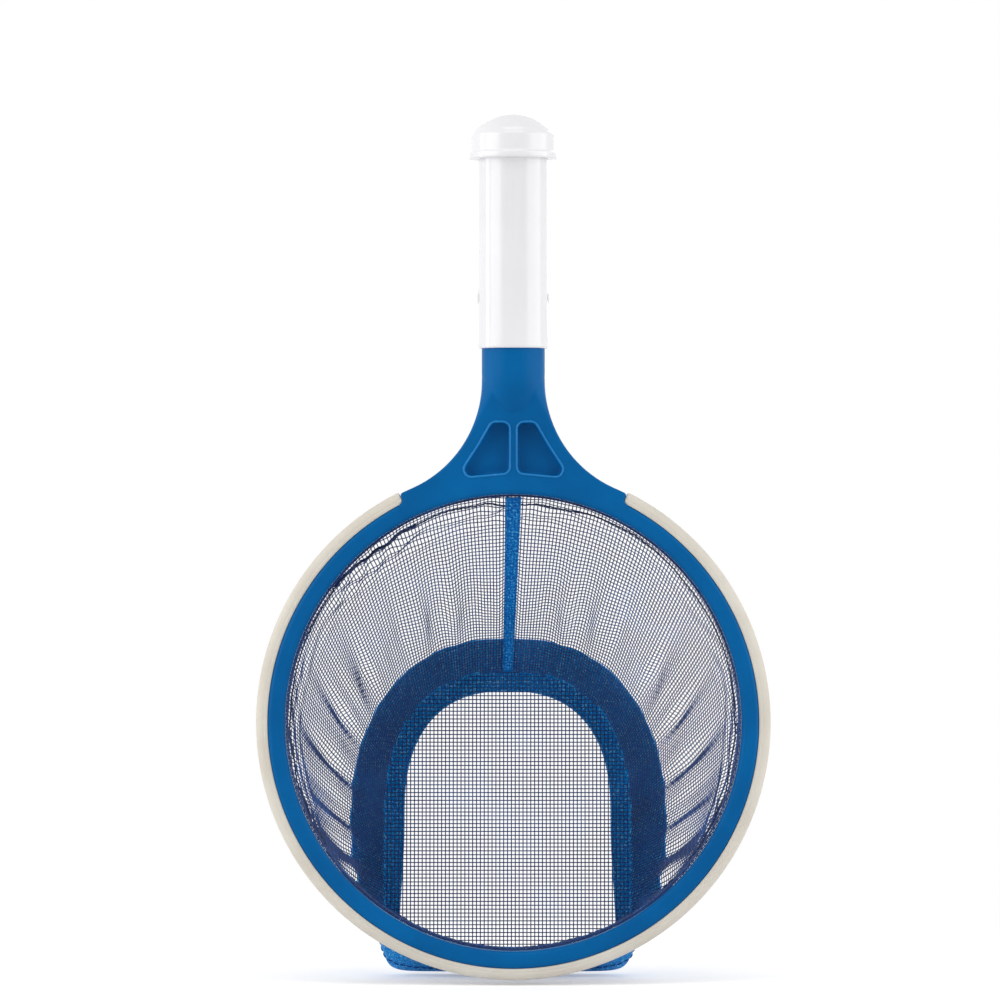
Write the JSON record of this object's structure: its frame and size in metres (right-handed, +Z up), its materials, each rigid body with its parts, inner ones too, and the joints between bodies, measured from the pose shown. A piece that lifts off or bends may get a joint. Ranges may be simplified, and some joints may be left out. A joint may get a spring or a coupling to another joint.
{
  "type": "leaf skimmer net",
  "caption": "Round hand-held leaf skimmer net: a clamped hoop with a soft rubber edge and a deep mesh bag, on a hollow spigot with a short slip-on grip held by snap buttons.",
  "frame": {"origin": "on the handle's axis, at the shoulder where the lower end of the grip or of a pole sits", "axes": "+Z up the handle, away from the hoop; -Y out of the net's open front; +X to the right seen from the front"},
  "size_m": [0.22, 0.0846, 0.3729],
  "materials": {
    "blue_plastic": "satin moulded polypropylene",
    "ring_plastic": "satin moulded polypropylene",
    "screw_steel": "bright stainless steel",
    "cream_rubber": "soft matte rubber",
    "hem_cord": "woven hem over a cord",
    "navy_net": "open woven mesh",
    "panel_net": "open woven mesh",
    "seam_tape": "woven tape",
    "binding_tape": "woven tape",
    "white_plastic": "glossy",
    "cap_plastic": "glossy",
    "spring_steel": "bright spring strip",
    "button_plastic": "glossy"
  },
  "bodies": {
    "frame": {"scoop_frame": "blue_plastic", "clamp_ring": "ring_plastic", "clamp_screws": "screw_steel", "rubber_edge": "cream_rubber", "net_hem": "hem_cord", "net_wall": "navy_net", "net_base": "panel_net", "net_side_seam": "seam_tape", "net_base_seam": "binding_tape", "clip_bend": "spring_steel"},
    "grip": {"grip_tube": "white_plastic", "end_cap": "cap_plastic"},
    "left_clip": {"left_clip_leg": "spring_steel", "left_button": "button_plastic"},
    "right_clip": {"right_clip_leg": "spring_steel", "right_button": "button_plastic"}
  },
  "joints": [
    {"name": "grip_slide", "type": "slide", "parent": "frame", "child": "grip", "axis": [0, 0, 1], "range_m": [0, 0.082], "deforming": ["left_clip_leg", "left_button", "right_clip_leg", "right_button"]},
    {"name": "left_button_press", "type": "hinge", "parent": "frame", "child": "left_clip", "pos_m": [-0.0094, 0, -0.008], "axis": [0, 1, 0], "range_deg": [0, 4], "stiffness_Nm_per_rad": 0.3, "springref_deg": -2.86},
    {"name": "right_button_press", "type": "hinge", "parent": "frame", "child": "right_clip", "pos_m": [0.0094, 0, -0.008], "axis": [0, -1, 0], "range_deg": [0, 4], "stiffness_Nm_per_rad": 0.3, "springref_deg": -2.86}
  ]
}
